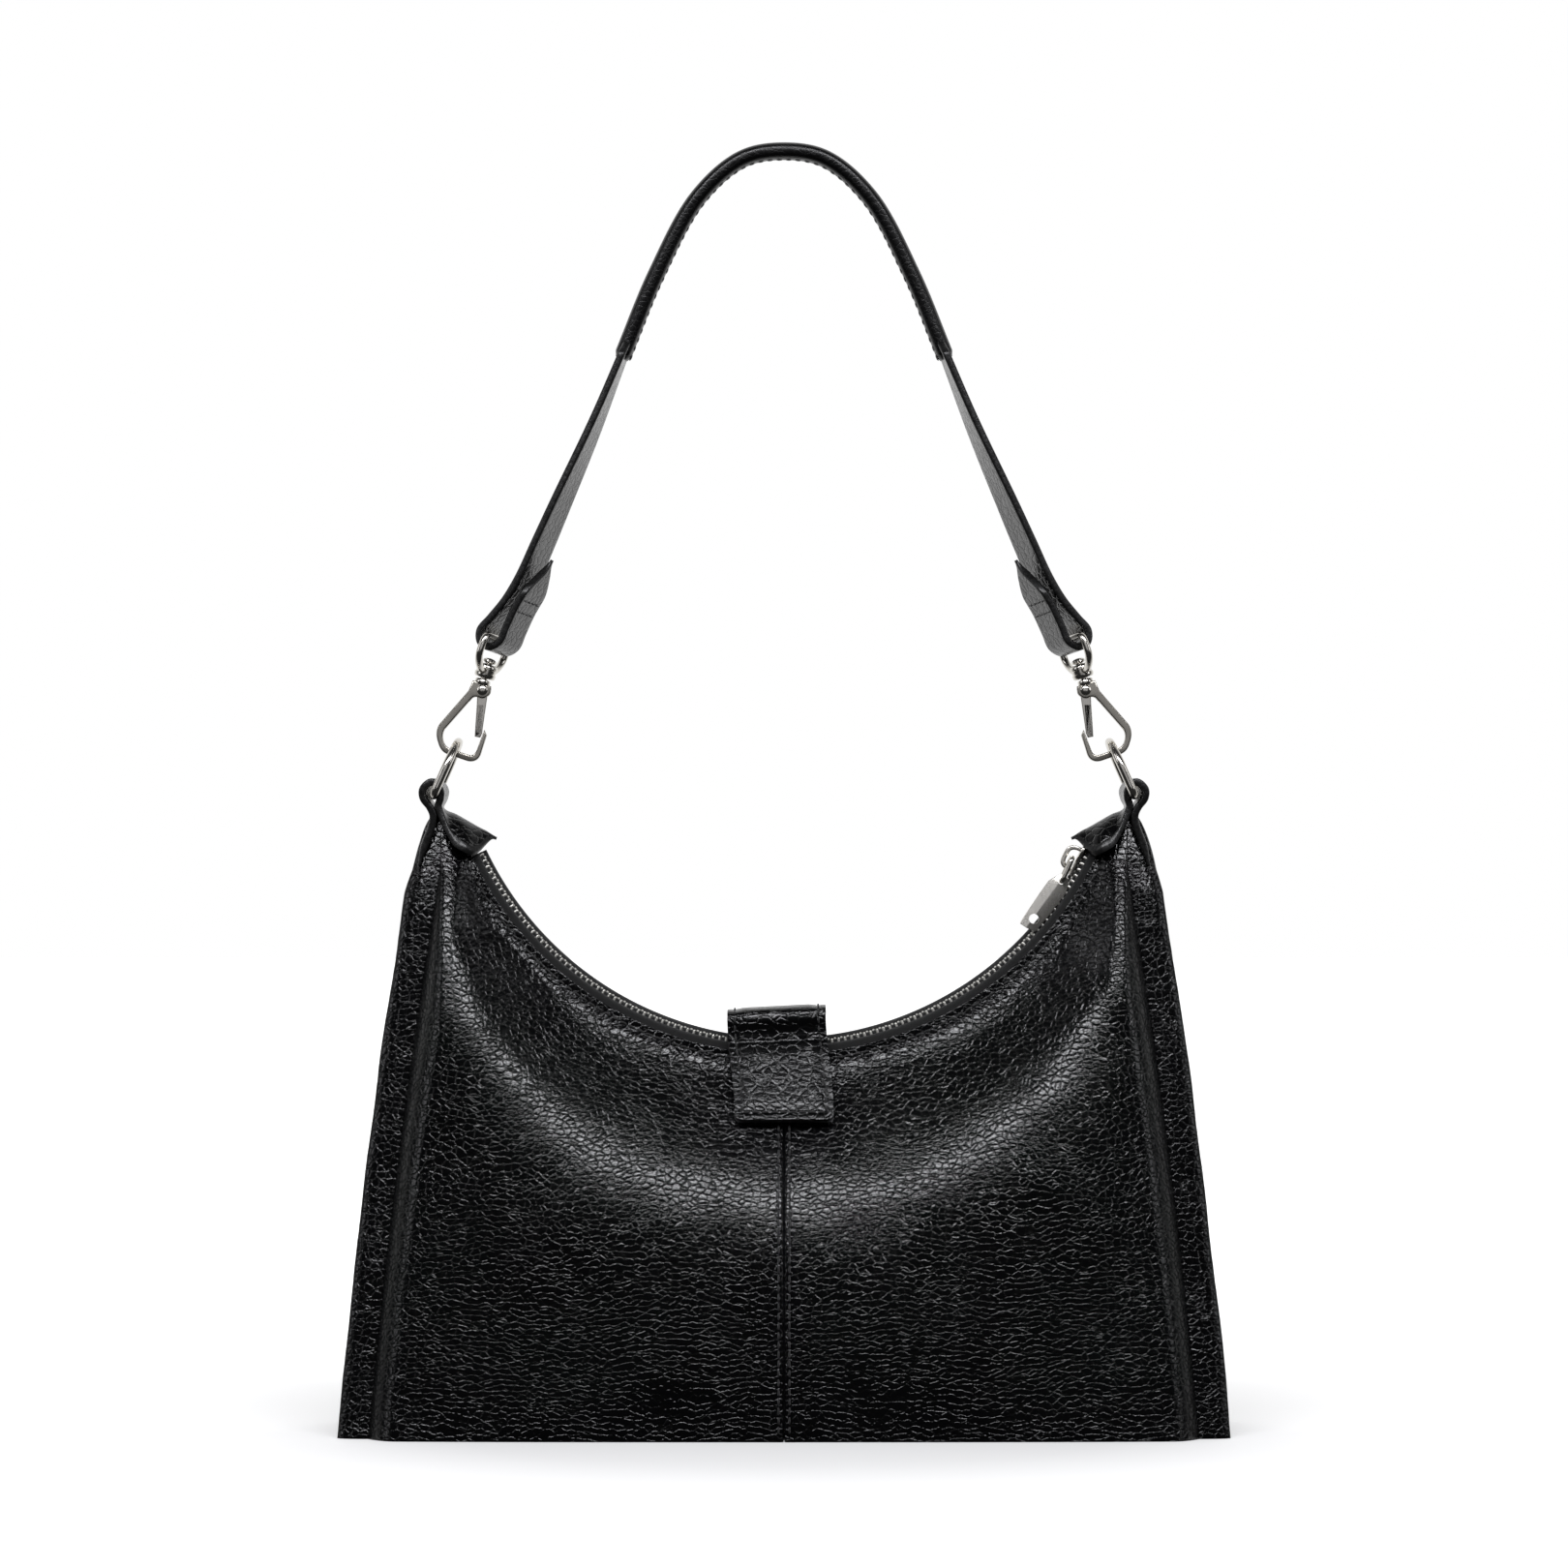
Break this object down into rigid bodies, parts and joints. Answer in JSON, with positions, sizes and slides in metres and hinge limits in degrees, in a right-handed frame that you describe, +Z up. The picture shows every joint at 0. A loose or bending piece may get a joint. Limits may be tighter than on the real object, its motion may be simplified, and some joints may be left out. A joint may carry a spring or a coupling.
{
  "type": "hobo bag",
  "caption": "Small leather hobo shoulder bag with a curved zip top, a closure tab, side gussets and a strap on swivel hooks and D rings",
  "frame": {"origin": "middle of the base, on the surface that the bag stands on", "axes": "+Z up, +X to the right seen from the rear side, the rear side faces -Y"},
  "size_m": [0.3056, 0.0906, 0.446],
  "materials": {
    "body_leather": "pebbled, semi-matt black",
    "strap_leather": "pebbled, semi-matt black with painted edges",
    "lining_cloth": "woven, matt",
    "zip_tape": "woven, matt",
    "stiffener_board": "fibre board, matt",
    "zip_metal": "polished nickel",
    "hook_metal": "polished nickel",
    "spring_steel": "plain steel"
  },
  "bodies": {
    "bag": {"rear_panel_left": "body_leather", "rear_panel_right": "body_leather", "front_panel_left": "body_leather", "front_panel_right": "body_leather", "side_gusset_left": "body_leather", "side_gusset_right": "body_leather", "base_panel": "body_leather", "base_board": "stiffener_board", "lining": "lining_cloth", "zip_tape_rear": "zip_tape", "zip_tape_front": "zip_tape", "zip_teeth_rear": "zip_metal", "zip_teeth_front": "zip_metal", "zip_top_stop_rear": "zip_metal", "zip_top_stop_front": "zip_metal", "zip_bottom_stop": "zip_metal", "closure_tab_anchor": "strap_leather", "snap_socket": "hook_metal", "ring_tab_left": "strap_leather", "ring_tab_right": "strap_leather"},
    "flap": {"closure_tab_flap": "strap_leather", "snap_stud": "hook_metal"},
    "slider": {"zip_slider": "zip_metal"},
    "link": {"zip_link": "zip_metal"},
    "pull": {"zip_pull": "zip_metal"},
    "strap": {"strap": "strap_leather", "swivel_eye_left": "hook_metal", "swivel_eye_right": "hook_metal"},
    "ring_left": {"ring_left": "hook_metal"},
    "hook_left": {"hook_body_left": "hook_metal", "gate_rivet_left": "hook_metal", "gate_spring_left": "spring_steel"},
    "gate_left": {"hook_gate_left": "hook_metal"},
    "ring_right": {"ring_right": "hook_metal"},
    "hook_right": {"hook_body_right": "hook_metal", "gate_rivet_right": "hook_metal", "gate_spring_right": "spring_steel"},
    "gate_right": {"hook_gate_right": "hook_metal"}
  },
  "joints": [
    {"name": "tab_lift", "type": "hinge", "parent": "bag", "child": "flap", "pos_m": [0, -0.0104, 0.13685], "axis": [1, 0, 0], "range_deg": [0, 95]},
    {"name": "zip_slide", "type": "hinge", "parent": "bag", "child": "slider", "pos_m": [0, 0, 0.25], "axis": [0, 1, 0], "range_deg": [0, 105]},
    {"name": "link_swing", "type": "hinge", "parent": "slider", "child": "link", "pos_m": [0.0997, 0, 0.1981], "axis": [0, 1, 0], "range_deg": [0, 70]},
    {"name": "pull_swing", "type": "hinge", "parent": "link", "child": "pull", "pos_m": [0.09605, -0.004, 0.1901], "axis": [0, 1, 0], "range_deg": [0, 70]},
    {"name": "strap_swing", "type": "hinge", "parent": "bag", "child": "strap", "pos_m": [0, 0, 0.22852], "axis": [1, 0, 0], "range_deg": [-45, 45]},
    {"name": "ring_left_swing", "type": "hinge", "parent": "bag", "child": "ring_left", "pos_m": [-0.121, 0, 0.2198], "axis": [0, 1, 0], "range_deg": [-3, 3]},
    {"name": "swivel_left", "type": "hinge", "parent": "strap", "child": "hook_left", "pos_m": [-0.11176, 0, 0.23784], "axis": [0.3256, 0, 0.9455], "range_deg": [-12, 12]},
    {"name": "gate_left_open", "type": "hinge", "parent": "hook_left", "child": "gate_left", "pos_m": [-0.10446, 0, 0.25627], "axis": [0, 1, 0], "range_deg": [0, 25], "stiffness_Nm_per_rad": 0.02, "springref_deg": -14.32},
    {"name": "ring_right_swing", "type": "hinge", "parent": "bag", "child": "ring_right", "pos_m": [0.121, 0, 0.2198], "axis": [0, 1, 0], "range_deg": [-3, 3]},
    {"name": "swivel_right", "type": "hinge", "parent": "strap", "child": "hook_right", "pos_m": [0.11176, 0, 0.23784], "axis": [-0.3256, 0, 0.9455], "range_deg": [-12, 12]},
    {"name": "gate_right_open", "type": "hinge", "parent": "hook_right", "child": "gate_right", "pos_m": [0.10446, 0, 0.25627], "axis": [0, -1, 0], "range_deg": [0, 25], "stiffness_Nm_per_rad": 0.02, "springref_deg": -14.32}
  ]
}
